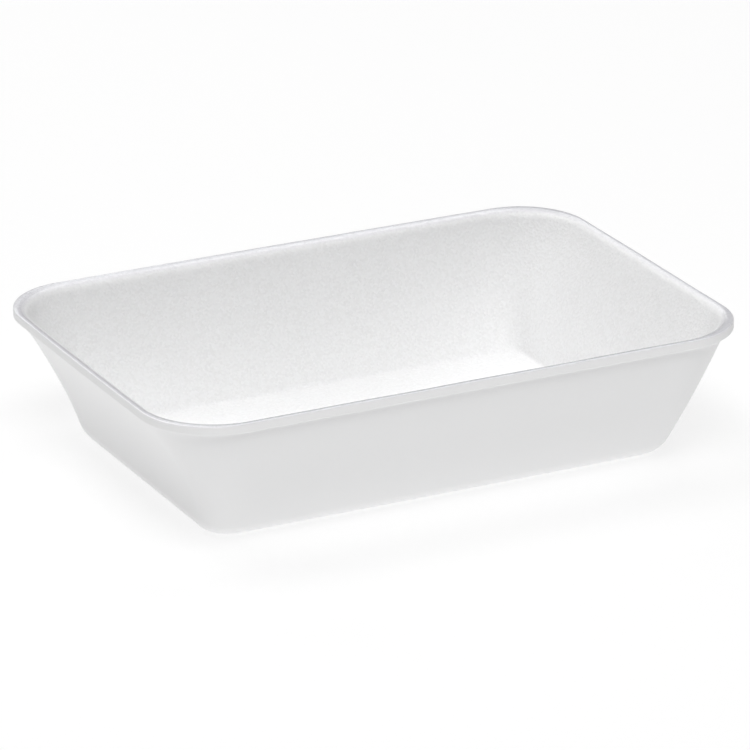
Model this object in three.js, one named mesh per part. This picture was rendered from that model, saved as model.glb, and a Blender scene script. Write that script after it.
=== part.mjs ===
// A deep rectangular food tray pressed from one sheet of white foam: a flat floor, four walls that flare
// outwards, round corners and a short lip turned out all the way round.
import * as THREE from "three";

// Sizes over the lip, in millimetres. The tray stands on z = 0, long side along x.
const RIM_LENGTH = 210;
const RIM_WIDTH = 143.5;
const HEIGHT = 47.5;
const RIM_CORNER_RADIUS = 24.2;

// The foam sheet, and the lip that it ends in: a bend, a narrow flat and a cut edge.
const FOAM = 3;
const LIP_FLAT = 0.6;
const LIP_BEND_RADIUS = 1.2;
const LIP_EDGE_ROUNDING = 0.5;

// How far in from the rim each wall stands, where its lower slope meets the table and at half height.
// The end walls flare more towards the lip, the long walls more towards the foot.
const END_WALL = { footInset: 21.5, bellyInset: 16.9, filletRadius: 7.8 };
const LONG_WALL = { footInset: 19.8, bellyInset: 5.8, filletRadius: 13.6 };

// The corners between the walls are tight at the foot and open out towards the lip.
const FOOT_CORNER_RADIUS = 11.1;
const EAVE_CORNER_RADIUS = 25.7;

// How finely the curves are divided.
const CORNER_STEPS = 12;
const FILLET_STEPS = 8;
const WALL_STEPS = 8;
const BEND_STEPS = 5;
const EDGE_STEPS = 2;

// Height of the lip's underside.
const EAVE = HEIGHT - FOAM;

// Lean from the vertical of the line between two points of a section, in radians.
function lean(low, high) {
  return Math.atan2(high.x - low.x, high.y - low.y);
}

// The line that a wall's foot follows up from the table. In a section x is 0 at the rim and negative
// inwards, and y is the height.
function footLine({ footInset, bellyInset }) {
  const foot = new THREE.Vector2(-footInset, 0);
  const belly = new THREE.Vector2(-bellyInset, EAVE / 2);
  return { foot, belly, angle: lean(foot, belly) };
}

// The fillet between the foot and the table: its centre, and the point where the wall leaves it.
function footFillet(side) {
  const { foot, angle } = footLine(side);
  const radius = side.filletRadius;
  const centre = new THREE.Vector2(foot.x - (radius * Math.cos(angle)) / (1 + Math.sin(angle)), radius);
  const outwards = new THREE.Vector2(Math.cos(angle), -Math.sin(angle));
  const touch = outwards.multiplyScalar(radius).add(centre);
  return { centre, touch, angle };
}

// The bend under the lip: its centre, and the point where the wall runs into it.
function lipBend(side) {
  const { belly } = footLine(side);
  const centre = new THREE.Vector2(-LIP_FLAT, EAVE - LIP_BEND_RADIUS);
  const angle = lean(belly, centre) - Math.asin(LIP_BEND_RADIUS / belly.distanceTo(centre));
  const inwards = new THREE.Vector2(-Math.cos(angle), Math.sin(angle));
  const touch = inwards.multiplyScalar(LIP_BEND_RADIUS).add(centre);
  return { centre, touch, angle };
}

// Points of an arc in a section, from one angle to another.
function arcPoints(centre, radius, from, to, steps) {
  return new THREE.EllipseCurve(centre.x, centre.y, radius, radius, from, to, to < from).getPoints(steps);
}

// Points of a wall between its two roundings, at a depth behind its outer face.
function wallPoints(side, depth) {
  const { belly } = footLine(side);
  const curve = new THREE.QuadraticBezierCurve(footFillet(side).touch, belly, lipBend(side).touch);
  const points = [];
  for (let i = 1; i < WALL_STEPS; i++) {
    const tangent = curve.getTangent(i / WALL_STEPS);
    const point = curve.getPoint(i / WALL_STEPS);
    points.push(new THREE.Vector2(point.x - depth * tangent.y, point.y + depth * tangent.x));
  }
  return points;
}

// One face of a wall from the floor to the lip: the outer face at depth 0, the inner at the foam's depth.
function facePoints(side, depth) {
  const fillet = footFillet(side);
  const bend = lipBend(side);
  return [
    ...arcPoints(fillet.centre, side.filletRadius - depth, -Math.PI / 2, -fillet.angle, FILLET_STEPS),
    ...wallPoints(side, depth),
    ...arcPoints(bend.centre, LIP_BEND_RADIUS + depth, Math.PI - bend.angle, Math.PI / 2, BEND_STEPS),
  ];
}

// Corner radius of the outer face at a point of its section. In the fillet it shrinks by as much as the
// face falls back from the line of the foot.
function cornerRadius(side, point, inFillet) {
  const rise = (point.y / EAVE) ** 2;
  const radius = THREE.MathUtils.lerp(FOOT_CORNER_RADIUS, EAVE_CORNER_RADIUS, rise);
  const { foot, angle } = footLine(side);
  return inFillet ? radius - (foot.x + point.y * Math.tan(angle) - point.x) : radius;
}

// Points of one face with their corner radii. The inner face's corners run parallel to the outer one's.
function faceLevels(side, depth) {
  const outer = facePoints(side, 0);
  return facePoints(side, depth).map((point, i) => {
    const radius = cornerRadius(side, outer[i], i < FILLET_STEPS);
    return { point, radius: radius - (outer[i].x - point.x) };
  });
}

// The lip's cut edge with its two roundings, from the underside to the top.
function edgeLevels() {
  const low = new THREE.Vector2(-LIP_EDGE_ROUNDING, EAVE + LIP_EDGE_ROUNDING);
  const high = new THREE.Vector2(-LIP_EDGE_ROUNDING, HEIGHT - LIP_EDGE_ROUNDING);
  const points = [
    ...arcPoints(low, LIP_EDGE_ROUNDING, -Math.PI / 2, 0, EDGE_STEPS),
    ...arcPoints(high, LIP_EDGE_ROUNDING, 0, Math.PI / 2, EDGE_STEPS),
  ];
  return points.map((point) => ({ point, radius: RIM_CORNER_RADIUS + point.x }));
}

// The whole section of one side: up the outer face, round the lip's edge and down the inner face.
function sectionLevels(side) {
  return [...faceLevels(side, 0), ...edgeLevels(), ...faceLevels(side, FOAM).reverse()];
}

// One ring of the tray, anticlockwise from above, where its end walls and long walls have these levels.
function ringPoints(end, long) {
  const reachX = RIM_LENGTH / 2 + end.point.x - end.radius;
  const reachY = RIM_WIDTH / 2 + long.point.x - long.radius;
  const points = [];
  for (let quarter = 0; quarter < 4; quarter++) {
    const centreX = quarter === 0 || quarter === 3 ? reachX : -reachX;
    const centreY = quarter < 2 ? reachY : -reachY;
    for (let i = 0; i <= CORNER_STEPS; i++) {
      const angle = ((quarter + i / CORNER_STEPS) * Math.PI) / 2;
      const x = Math.cos(angle);
      const y = Math.sin(angle);
      const height = end.point.y * x * x + long.point.y * y * y;
      points.push(new THREE.Vector3(centreX + end.radius * x, centreY + long.radius * y, height));
    }
  }
  return points;
}

// The skin between each ring and the next, as triangles facing outwards.
function skinIndices(rings) {
  const count = rings[0].length;
  const indices = [];
  for (let level = 0; level + 1 < rings.length; level++) {
    for (let i = 0; i < count; i++) {
      const a = level * count + i;
      const b = level * count + ((i + 1) % count);
      indices.push(a, b, b + count, a, b + count, a + count);
    }
  }
  return indices;
}

// A flat ring filled in: the foot seen from below, or the floor seen from above.
function capIndices(ring, first, facingUp) {
  const outline = ring.map((point) => new THREE.Vector2(point.x, point.y));
  return THREE.ShapeUtils.triangulateShape(outline, []).flatMap(([a, b, c]) =>
    facingUp ? [first + a, first + b, first + c] : [first + a, first + c, first + b],
  );
}

function makeTray() {
  const longLevels = sectionLevels(LONG_WALL);
  const rings = sectionLevels(END_WALL).map((end, i) => ringPoints(end, longLevels[i]));
  const floor = rings[rings.length - 1];
  const floorStart = (rings.length - 1) * floor.length;
  const geometry = new THREE.BufferGeometry().setFromPoints(rings.flat());
  geometry.setIndex([
    ...capIndices(rings[0], 0, false),
    ...skinIndices(rings),
    ...capIndices(floor, floorStart, true),
  ]);
  geometry.computeVertexNormals();
  const foam = new THREE.MeshStandardMaterial({ color: 0xf4f5f6, roughness: 0.7, metalness: 0 });
  const tray = new THREE.Mesh(geometry, foam);
  tray.name = "tray";
  return tray;
}

const model = new THREE.Group();
model.add(makeTray());

export default model;
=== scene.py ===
import math

import bpy
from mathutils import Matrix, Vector


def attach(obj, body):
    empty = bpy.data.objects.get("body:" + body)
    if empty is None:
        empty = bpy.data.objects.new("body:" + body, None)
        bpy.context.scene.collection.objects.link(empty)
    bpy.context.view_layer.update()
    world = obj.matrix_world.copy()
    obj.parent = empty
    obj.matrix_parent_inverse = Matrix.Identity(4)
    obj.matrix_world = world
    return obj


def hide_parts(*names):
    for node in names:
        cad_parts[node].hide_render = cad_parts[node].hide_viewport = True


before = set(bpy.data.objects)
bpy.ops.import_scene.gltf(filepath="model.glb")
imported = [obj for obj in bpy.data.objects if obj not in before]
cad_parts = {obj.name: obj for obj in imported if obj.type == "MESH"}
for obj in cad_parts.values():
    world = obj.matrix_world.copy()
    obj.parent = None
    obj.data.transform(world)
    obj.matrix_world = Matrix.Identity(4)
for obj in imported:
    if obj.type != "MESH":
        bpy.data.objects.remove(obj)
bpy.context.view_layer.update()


# The camera: a long lens from the front left, looking down a little over the near long wall. It stands so
# far away that the tray's far rim looks nearly as long as the near one.
AZIMUTH = math.radians(-26.89)
ELEVATION = math.radians(21.18)
DISTANCE = 1.8447
AIM = Vector((0, 0, 0.02375))
SENSOR_WIDTH = 36
FOCAL_LENGTH = 269.4
FRAME_SHIFT = (0.00304, 0.00449)

camera = bpy.data.objects.new("camera", bpy.data.cameras.new("camera"))
bpy.context.scene.collection.objects.link(camera)
towards_camera = Vector((
    math.sin(AZIMUTH) * math.cos(ELEVATION),
    -math.cos(AZIMUTH) * math.cos(ELEVATION),
    math.sin(ELEVATION),
))
camera.location = AIM + DISTANCE * towards_camera
camera.rotation_euler = (-towards_camera).to_track_quat("-Z", "Y").to_euler()
camera.data.sensor_width = SENSOR_WIDTH
camera.data.lens = FOCAL_LENGTH
camera.data.shift_x, camera.data.shift_y = FRAME_SHIFT
camera.data.clip_start = 0.1
camera.data.clip_end = 50
bpy.context.scene.camera = camera


# The tray: one sheet of white closed-cell polystyrene foam, heated and pressed into a mould, then cut free
# round its lip. A section of the wall runs round the rim. The sheet keeps its thickness, but for the crease
# round the floor, where the mould presses it thinner.
TRAY_SIZES = {
    "Rim Length": 0.210,
    "Rim Width": 0.1435,
    "Height": 0.0475,
    "Foam": 0.003,
    "Rim Corner Radius": 0.0242,
    "Foot Corner Radius": 0.0111,
    "Eave Corner Radius": 0.0257,
    "Lip Flat": 0.0006,
    "Lip Bend Radius": 0.0012,
    "Lip Edge Rounding": 0.0005,
    "End Foot Inset": 0.0215,
    "End Belly Inset": 0.0169,
    "End Fillet Radius": 0.0078,
    "Long Foot Inset": 0.0198,
    "Long Belly Inset": 0.0058,
    "Long Fillet Radius": 0.0136,
    "Unevenness": 0.0002,
    "Left End Bow": 0.0007,
}
CREASE_PULL = 8
SEED = 7

# The section has ten parts, from the middle of the foot to the middle of the floor: foot, fillet, flank and
# bend outside, the cut edge's lower and upper half, then bend, flank, crease and floor inside.
PARTS = 10
FIRST_INNER_PART = 6
STEPS_PER_PART = 14
CORNER_STEPS = 24
STRAIGHT_STEPS = 40
SIDE_STEPS = CORNER_STEPS + STRAIGHT_STEPS
RING = 4 * SIDE_STEPS + 1
LEVELS = PARTS * STEPS_PER_PART + 1

tree = bpy.data.node_groups.new("pressed_tray", "GeometryNodeTree")
tree.is_modifier = True
tree.interface.new_socket("Geometry", in_out="OUTPUT", socket_type="NodeSocketGeometry")
for name, size in TRAY_SIZES.items():
    socket = tree.interface.new_socket(name, in_out="INPUT", socket_type="NodeSocketFloat")
    socket.default_value = size
    socket.subtype = "DISTANCE"
tree.interface.new_socket("Foam Material", in_out="INPUT", socket_type="NodeSocketMaterial")
tree.interface.new_socket("Seed", in_out="INPUT", socket_type="NodeSocketInt").default_value = SEED
given = tree.nodes.new("NodeGroupInput")


class Term:
    """A number in a node tree, so that a sum of sockets reads like a sum."""

    def __init__(self, socket):
        self.socket = socket

    def __neg__(self):
        return calc("SUBTRACT", 0, self)

    def __add__(self, other):
        return calc("ADD", self, other)

    def __radd__(self, other):
        return calc("ADD", other, self)

    def __sub__(self, other):
        return calc("SUBTRACT", self, other)

    def __rsub__(self, other):
        return calc("SUBTRACT", other, self)

    def __mul__(self, other):
        return calc("MULTIPLY", self, other)

    def __rmul__(self, other):
        return calc("MULTIPLY", other, self)

    def __truediv__(self, other):
        return calc("DIVIDE", self, other)


def feed(socket, value):
    """Links a socket to a term or another socket, or sets it to a plain value."""
    if isinstance(value, Term):
        value = value.socket
    if isinstance(value, bpy.types.NodeSocket):
        tree.links.new(value, socket)
    else:
        socket.default_value = value


def add(kind, **values):
    """A new node in the tree at hand, with its inputs."""
    node = tree.nodes.new(kind)
    for name, value in values.items():
        feed(node.inputs[name.replace("_", " ")], value)
    return node


def calc(operation, *values):
    """One sum, sine or such, as a node."""
    node = add("ShaderNodeMath")
    node.operation = operation
    for socket, value in zip(node.inputs, values):
        feed(socket, value)
    return Term(node.outputs[0])


def blend(start, end, share):
    """The value that lies a share of the way from start to end."""
    return start + (end - start) * share


def pick(index, choices):
    """The choice that an index names."""
    node = add("GeometryNodeIndexSwitch")
    node.data_type = "FLOAT"
    while len(node.index_switch_items) < len(choices):
        node.index_switch_items.new()
    feed(node.inputs["Index"], index)
    for socket, value in zip(node.inputs[1:], choices):
        feed(socket, value)
    return Term(node.outputs[0])


size = {name: Term(given.outputs[name]) for name in TRAY_SIZES}
eave = size["Height"] - size["Foam"]

# The grid that becomes the tray's skin: levels from the middle of the foot, up the outer face, round the
# lip and down the inner face to the middle of the floor, and a ring of points on every level. A half is
# added to a whole number before it is divided and rounded down, so that it can't fall short.
grid = add("GeometryNodeMeshGrid", Vertices_X=LEVELS, Vertices_Y=RING)
index = Term(add("GeometryNodeInputIndex").outputs[0])
level = calc("FLOOR", (index + 0.5) / RING)
along = index - level * RING
part = calc("MINIMUM", calc("FLOOR", (level + 0.5) / STEPS_PER_PART), PARTS - 1)
step = level / STEPS_PER_PART - part
inside = calc("GREATER_THAN", part, FIRST_INNER_PART - 0.5)
rise = blend(step, 1 - step, inside)
middle = pick(part, [1, 0, 0, 0, 0, 0, 0, 0, 0, 1])
up = rise * (1 - middle)
reach = blend(1, rise, middle)
depth = inside * size["Foam"]

# Masks for the foam's material: the lip, which fades out down the inner bend, and its cut edge. The lip
# mask also carries the lip's darker colour, partly painted shade at its crest.
LIP_FADE = 2.5
fading = calc("MAXIMUM", 1 - LIP_FADE * step * step, 0)
lip = pick(part, [0, 0, 0, 0, 0, step, fading, 0, 0, 0])
cut_edge = pick(part, [0, 0, 0, 0, 1, 1 - step, 0, 0, 0, 0])


def wall(foot_inset, belly_inset, fillet_radius):
    """Inset, height and corner radius of one side's wall on every level."""
    # The foot line, from where the wall's slope meets the table to its belly at half height, and the fillet
    # between that line and the table.
    half = eave / 2
    foot_lean = calc("ARCTAN2", foot_inset - belly_inset, half)
    sine = calc("SINE", foot_lean)
    cosine = calc("COSINE", foot_lean)
    fillet_x = -foot_inset - fillet_radius * cosine / (1 + sine)
    fillet_turn = blend(-math.pi / 2, -foot_lean, up)

    # The bend under the lip, and where the wall runs into it.
    bend_radius = size["Lip Bend Radius"]
    bend_x = -size["Lip Flat"]
    bend_y = eave - bend_radius
    over = bend_x + belly_inset
    above = bend_y - half
    span = calc("SQRT", over * over + above * above)
    lip_lean = calc("ARCTAN2", over, above) - calc("ARCSINE", bend_radius / span)
    bend_turn = blend(math.pi - lip_lean, math.pi / 2, up)

    # The flank between fillet and bend: a quadratic curve that the belly pulls outwards.
    low_x = fillet_x + fillet_radius * cosine
    low_y = fillet_radius - fillet_radius * sine
    high_x = bend_x - bend_radius * calc("COSINE", lip_lean)
    high_y = bend_y + bend_radius * calc("SINE", lip_lean)
    first_x = blend(low_x, -belly_inset, up)
    first_y = blend(low_y, half, up)
    second_x = blend(-belly_inset, high_x, up)
    second_y = blend(half, high_y, up)
    run_x = second_x - first_x
    run_y = second_y - first_y
    run = calc("SQRT", run_x * run_x + run_y * run_y)

    # The cut edge is rounded at its underside and at its top.
    rounding = size["Lip Edge Rounding"]
    low_edge = blend(-math.pi / 2, 0, up)
    high_edge = blend(0, math.pi / 2, step)
    edge_x = -rounding

    # Each part gives a point of the outer face, and the direction in which the inner face lies.
    fillet = {
        "x": fillet_x + fillet_radius * calc("COSINE", fillet_turn),
        "y": fillet_radius + fillet_radius * calc("SINE", fillet_turn),
        "in_x": -calc("COSINE", fillet_turn),
        "in_y": -calc("SINE", fillet_turn),
    }
    flank = {
        "x": blend(first_x, second_x, up),
        "y": blend(first_y, second_y, up),
        "in_x": -(run_y / run),
        "in_y": run_x / run,
    }
    bend = {
        "x": bend_x + bend_radius * calc("COSINE", bend_turn),
        "y": bend_y + bend_radius * calc("SINE", bend_turn),
        "in_x": calc("COSINE", bend_turn),
        "in_y": calc("SINE", bend_turn),
    }
    low = {
        "x": edge_x + rounding * calc("COSINE", low_edge),
        "y": eave + rounding + rounding * calc("SINE", low_edge),
        "in_x": 0,
        "in_y": 0,
    }
    high = {
        "x": edge_x + rounding * calc("COSINE", high_edge),
        "y": size["Height"] - rounding + rounding * calc("SINE", high_edge),
        "in_x": 0,
        "in_y": 0,
    }
    order = [fillet, fillet, flank, bend, low, high, bend, flank, fillet, fillet]
    chosen = {key: pick(part, [piece[key] for piece in order]) for key in fillet}

    # On the inner face the mould presses a crease between wall and floor, tighter than the fillet outside:
    # a curve that the corner between them pulls hard towards itself.
    inner_radius = fillet_radius - size["Foam"]
    crease_x = -foot_inset - size["Foam"] * (1 - sine) / cosine
    from_wall = (1 - step) * (1 - step)
    to_floor = step * step
    at_crease = step * (1 - step) * (2 * CREASE_PULL)
    shares = from_wall + to_floor + at_crease
    wall_x = fillet_x + inner_radius * cosine
    wall_y = fillet_radius - inner_radius * sine
    creased_x = (from_wall * wall_x + at_crease * crease_x + to_floor * fillet_x) / shares
    creased_y = (from_wall * wall_y + (at_crease + to_floor) * size["Foam"]) / shares
    in_crease = pick(part, [0, 0, 0, 0, 0, 0, 0, 0, 1, 0])

    # Corners open out towards the lip. In the fillet they shrink by as much as the face falls back from the
    # foot line, and the inner face's run parallel to the outer one's.
    opening = (chosen["y"] / eave) * (chosen["y"] / eave)
    corner = blend(size["Foot Corner Radius"], size["Eave Corner Radius"], opening)
    fall = chosen["y"] * (sine / cosine) - foot_inset - chosen["x"]
    in_fillet = pick(part, [1, 1, 0, 0, 0, 0, 0, 0, 1, 1])
    on_edge = pick(part, [0, 0, 0, 0, 1, 1, 0, 0, 0, 0])
    x = blend(chosen["x"] + depth * chosen["in_x"], creased_x, in_crease)
    y = blend(chosen["y"] + depth * chosen["in_y"], creased_y, in_crease)
    sheet = corner - fall * in_fillet + x - chosen["x"]
    return x, y, blend(sheet, size["Rim Corner Radius"] + x, on_edge)


WALL_SIZES = ["Foot Inset", "Belly Inset", "Fillet Radius"]
end_x, end_y, end_radius = wall(*[size[f"End {name}"] for name in WALL_SIZES])
long_x, long_y, long_radius = wall(*[size[f"Long {name}"] for name in WALL_SIZES])

# Round the ring: a quarter turn at each corner, then straight along the side to the next one. The end
# walls' section turns into the long walls' on the way round a corner. A corner's middle lies at 45 degrees,
# so the root of two brings its sine and cosine to one.
quarter = calc("FLOOR", (along + 0.5) / SIDE_STEPS)
passed = along - quarter * SIDE_STEPS
turn = (quarter + calc("MINIMUM", passed / CORNER_STEPS, 1)) * (math.pi / 2)
slide = calc("MAXIMUM", passed - CORNER_STEPS, 0) / STRAIGHT_STEPS
here = (quarter + 0.5) * (math.pi / 2)
there = (quarter + 1.5) * (math.pi / 2)
side_x = blend(calc("COSINE", here), calc("COSINE", there), slide) * math.sqrt(2)
side_y = blend(calc("SINE", here), calc("SINE", there), slide) * math.sqrt(2)
cosine = calc("COSINE", turn)
sine = calc("SINE", turn)
ring_x = side_x * (size["Rim Length"] / 2 + end_x - end_radius) + end_radius * cosine
ring_y = side_y * (size["Rim Width"] / 2 + long_x - long_radius) + long_radius * sine
height = end_y * (cosine * cosine) + long_y * (sine * sine)

# The left end is bowed out a little at its lip, as such a tray soon is when it is handled.
across = ring_y / (size["Rim Width"] / 2)
lifted = height / size["Height"]
at_left = calc("GREATER_THAN", -ring_x, size["Rim Length"] / 4)
bow = size["Left End Bow"] * at_left * calc("MAXIMUM", 1 - across * across, 0) * lifted * lifted

place = add("ShaderNodeCombineXYZ", X=(ring_x - bow) * reach, Y=ring_y * reach, Z=height)


def then(kind, geometry, **values):
    """The next step that is done to the tray's mesh."""
    node = add(kind, **values)
    feed(node.inputs[0], geometry)
    return node


def scaled(vector, factor):
    """A vector or colour times a number."""
    node = add("ShaderNodeVectorMath")
    node.operation = "SCALE"
    feed(node.inputs[0], vector)
    feed(node.inputs["Scale"], factor)
    return node.outputs[0]


formed = then("GeometryNodeSetPosition", grid.outputs["Mesh"], Position=place.outputs[0])
marked = formed
for name, value in {"inner_face": inside, "lip": lip, "cut_edge": cut_edge}.items():
    marked = then("GeometryNodeStoreNamedAttribute", marked.outputs[0], Name=name, Value=value)
SEAM = 1e-6
closed = then("GeometryNodeMergeByDistance", marked.outputs[0], Distance=SEAM)
closed = then("GeometryNodeFlipFaces", closed.outputs[0])

# The foam isn't quite even: the sheet swells and sinks by a hair over a few centimetres, but it stands
# flat on its foot.
SWELL_SCALE = 28.0
STEADY_HEIGHT = 0.008
swell = add("ShaderNodeTexNoise", Scale=SWELL_SCALE, Detail=1.0)
swell.noise_dimensions = "4D"
feed(swell.inputs["W"], given.outputs["Seed"])
apart = add("ShaderNodeSeparateXYZ", Vector=add("GeometryNodeInputPosition").outputs[0])
above_foot = calc("MINIMUM", Term(apart.outputs["Z"]) / STEADY_HEIGHT, 1)
offset = (Term(swell.outputs[0]) - 0.5) * 2 * size["Unevenness"] * above_foot
push = scaled(add("GeometryNodeInputNormal").outputs[0], offset)
uneven = then("GeometryNodeSetPosition", closed.outputs[0], Offset=push)
smooth = then("GeometryNodeSetShadeSmooth", uneven.outputs[0])
real = then("GeometryNodeRealizeInstances", smooth.outputs[0])
finished = then("GeometryNodeSetMaterial", real.outputs[0], Material=given.outputs["Foam Material"])
add("NodeGroupOutput", Geometry=finished.outputs[0])

# The foam's look: a close grain of cells on the inner face, a nearly smooth outer face, a glossier skin on
# the lip, where the sheet was pinched, and a matte cut edge. The lip is greyer and lilac, partly as its
# denser skin and partly as painted shade for its dark crest. Scales are per metre, and the cells' depth is
# in metres. The calls above now build in the material's tree.
CELL_SCALE = 1350.0
FINE_SCALE = 2400.0
PATCH_SCALE = 170.0
FINE_SHARE = 0.5
PATCH_LEAST = 0.4
PATCH_SWING = 1.2
OUTER_GRAIN = 0.08
CELL_DEPTH = 0.00011
CELL_TONE_AND_GLINTS = 0.07
SKIN_COLOUR = (0.955, 0.955, 0.958, 1)
LIP_TINT_AND_CREST_SHADE = (0.885, 0.88, 0.92, 1)
SKIN_ROUGHNESS = 0.42
LIP_SMOOTHING = 0.2
CUT_ROUGHENING = 0.25
GLOSS_ROUGHNESS = 0.16

press = tree
foam = bpy.data.materials.new("pressed_foam")
foam.use_nodes = True
tree = foam.node_tree
shader = tree.nodes["Principled BSDF"]


def mark(name):
    """A mask that the tray's tree left on the mesh."""
    node = add("ShaderNodeAttribute")
    node.attribute_name = name
    return Term(node.outputs["Fac"])


place = add("ShaderNodeTexCoord").outputs["Object"]
inner_face = mark("inner_face")
lip = mark("lip")
cut_edge = mark("cut_edge")
cells = add("ShaderNodeTexVoronoi", Vector=place, Scale=CELL_SCALE)
from_middle = Term(cells.outputs["Distance"])
dimple = from_middle * from_middle
tone = add("ShaderNodeSeparateColor", Color=cells.outputs["Color"])
fine = Term(add("ShaderNodeTexNoise", Vector=place, Scale=FINE_SCALE, Detail=1.0).outputs[0])
patches = Term(add("ShaderNodeTexNoise", Vector=place, Scale=PATCH_SCALE, Detail=2.0).outputs[0])
grain = calc("MINIMUM", OUTER_GRAIN + inner_face + lip, 1) * (PATCH_LEAST + patches * PATCH_SWING)
relief = (dimple + fine * FINE_SHARE) * grain
bump = add("ShaderNodeBump", Strength=1.0, Distance=CELL_DEPTH, Height=relief)
feed(shader.inputs["Normal"], bump.outputs[0])

# A mix of colours takes its two on its seventh and eighth inputs, and gives the third output.
# The lip's greyer, lilac colour is partly painted shade: it darkens the crest where shade falls, and the
# rest is the denser pinched skin.
white = add("ShaderNodeMix", Factor=lip)
white.data_type = "RGBA"
feed(white.inputs[6], SKIN_COLOUR)
feed(white.inputs[7], LIP_TINT_AND_CREST_SHADE)
# Each cell is a little lighter or darker, most on the inner face and lip: partly the foam's own tone,
# partly painted glints of the cells.
tone_and_glint_speck = 1 + (Term(tone.outputs["Red"]) - 0.5) * CELL_TONE_AND_GLINTS * grain
feed(shader.inputs["Base Color"], scaled(white.outputs[2], tone_and_glint_speck))
feed(shader.inputs["Roughness"], SKIN_ROUGHNESS - LIP_SMOOTHING * lip + CUT_ROUGHENING * cut_edge)
feed(shader.inputs["Coat Weight"], lip)
shader.inputs["Coat Roughness"].default_value = GLOSS_ROUGHNESS

# The tree is run once on an empty mesh, and what it gives becomes the tray's plain mesh.
draft = bpy.data.objects.new("tray_draft", bpy.data.meshes.new("tray_draft"))
bpy.context.scene.collection.objects.link(draft)
modifier = draft.modifiers.new("pressed_tray", "NODES")
modifier.node_group = press
for item in press.interface.items_tree:
    if item.in_out == "INPUT" and item.name == "Foam Material":
        modifier[item.identifier] = foam
evaluated = draft.evaluated_get(bpy.context.evaluated_depsgraph_get())
tray = bpy.data.objects.new("foam_tray", bpy.data.meshes.new_from_object(evaluated))
bpy.data.objects.remove(draft)
bpy.context.scene.collection.objects.link(tray)
tray.data.materials.clear()
tray.data.materials.append(foam)
for face in tray.data.polygons:
    face.material_index = 0
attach(tray, "root")
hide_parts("tray")


# The floor: a sheet of white paper, lit so brightly that it comes out white and throws light up under the
# tray's leaning walls.
FLOOR_HALF = 6
PAPER_GREY = (0.3, 0.3, 0.3, 1)
PAPER_ROUGHNESS = 0.9
PAPER_GLOW = 0.7
paper = bpy.data.materials.new("paper")
paper.use_nodes = True
coating = paper.node_tree.nodes["Principled BSDF"]
coating.inputs["Base Color"].default_value = PAPER_GREY
coating.inputs["Roughness"].default_value = PAPER_ROUGHNESS
coating.inputs["Emission Color"].default_value = (1, 1, 1, 1)
coating.inputs["Emission Strength"].default_value = PAPER_GLOW
sheet = bpy.data.meshes.new("floor")
corners = [(-1, -1), (1, -1), (1, 1), (-1, 1)]
sheet.from_pydata([(x * FLOOR_HALF, y * FLOOR_HALF, 0) for x, y in corners], [], [(0, 1, 2, 3)])
sheet.materials.append(paper)
floor = bpy.data.objects.new("floor", sheet)
bpy.context.scene.collection.objects.link(floor)


# The light: soft boxes three metres off, the strongest above the camera, and a white room behind it all
# that the camera sees but that gives next to no light.
LAMP_DISTANCE = 3
LAMPS = {
    "front_box": {"azimuth": -27, "elevation": 58, "width": 1.6, "height": 1.6, "power": 45},
    "left_box": {"azimuth": -140, "elevation": 56, "width": 1.6, "height": 1.6, "power": 28},
    "right_box": {"azimuth": 40, "elevation": 60, "width": 1.6, "height": 1.6, "power": 13},
    "far_box": {"azimuth": 126, "elevation": 57, "width": 1.2, "height": 1.2, "power": 12},
    "back_box": {"azimuth": 176, "elevation": 32, "width": 2.0, "height": 1.0, "power": 10},
}
for name, lamp in LAMPS.items():
    light = bpy.data.lights.new(name, "AREA")
    light.shape = "RECTANGLE"
    light.size = lamp["width"]
    light.size_y = lamp["height"]
    light.energy = lamp["power"]
    azimuth = math.radians(lamp["azimuth"])
    elevation = math.radians(lamp["elevation"])
    towards = Vector((
        math.sin(azimuth) * math.cos(elevation),
        -math.cos(azimuth) * math.cos(elevation),
        math.sin(elevation),
    ))
    box = bpy.data.objects.new(name, light)
    box.location = LAMP_DISTANCE * towards
    box.rotation_euler = (-towards).to_track_quat("-Z", "Y").to_euler()
    box.visible_camera = False
    bpy.context.scene.collection.objects.link(box)

ROOM_SEEN = 1.0
ROOM_LIGHT = 0.02
world = bpy.data.worlds.new("studio")
world.use_nodes = True
tree = world.node_tree
backdrop = tree.nodes["Background"]
backdrop.inputs["Color"].default_value = (1, 1, 1, 1)
seen = Term(add("ShaderNodeLightPath").outputs["Is Camera Ray"])
feed(backdrop.inputs["Strength"], seen * (ROOM_SEEN - ROOM_LIGHT) + ROOM_LIGHT)
bpy.context.scene.world = world
bpy.context.scene.view_settings.view_transform = "Standard"
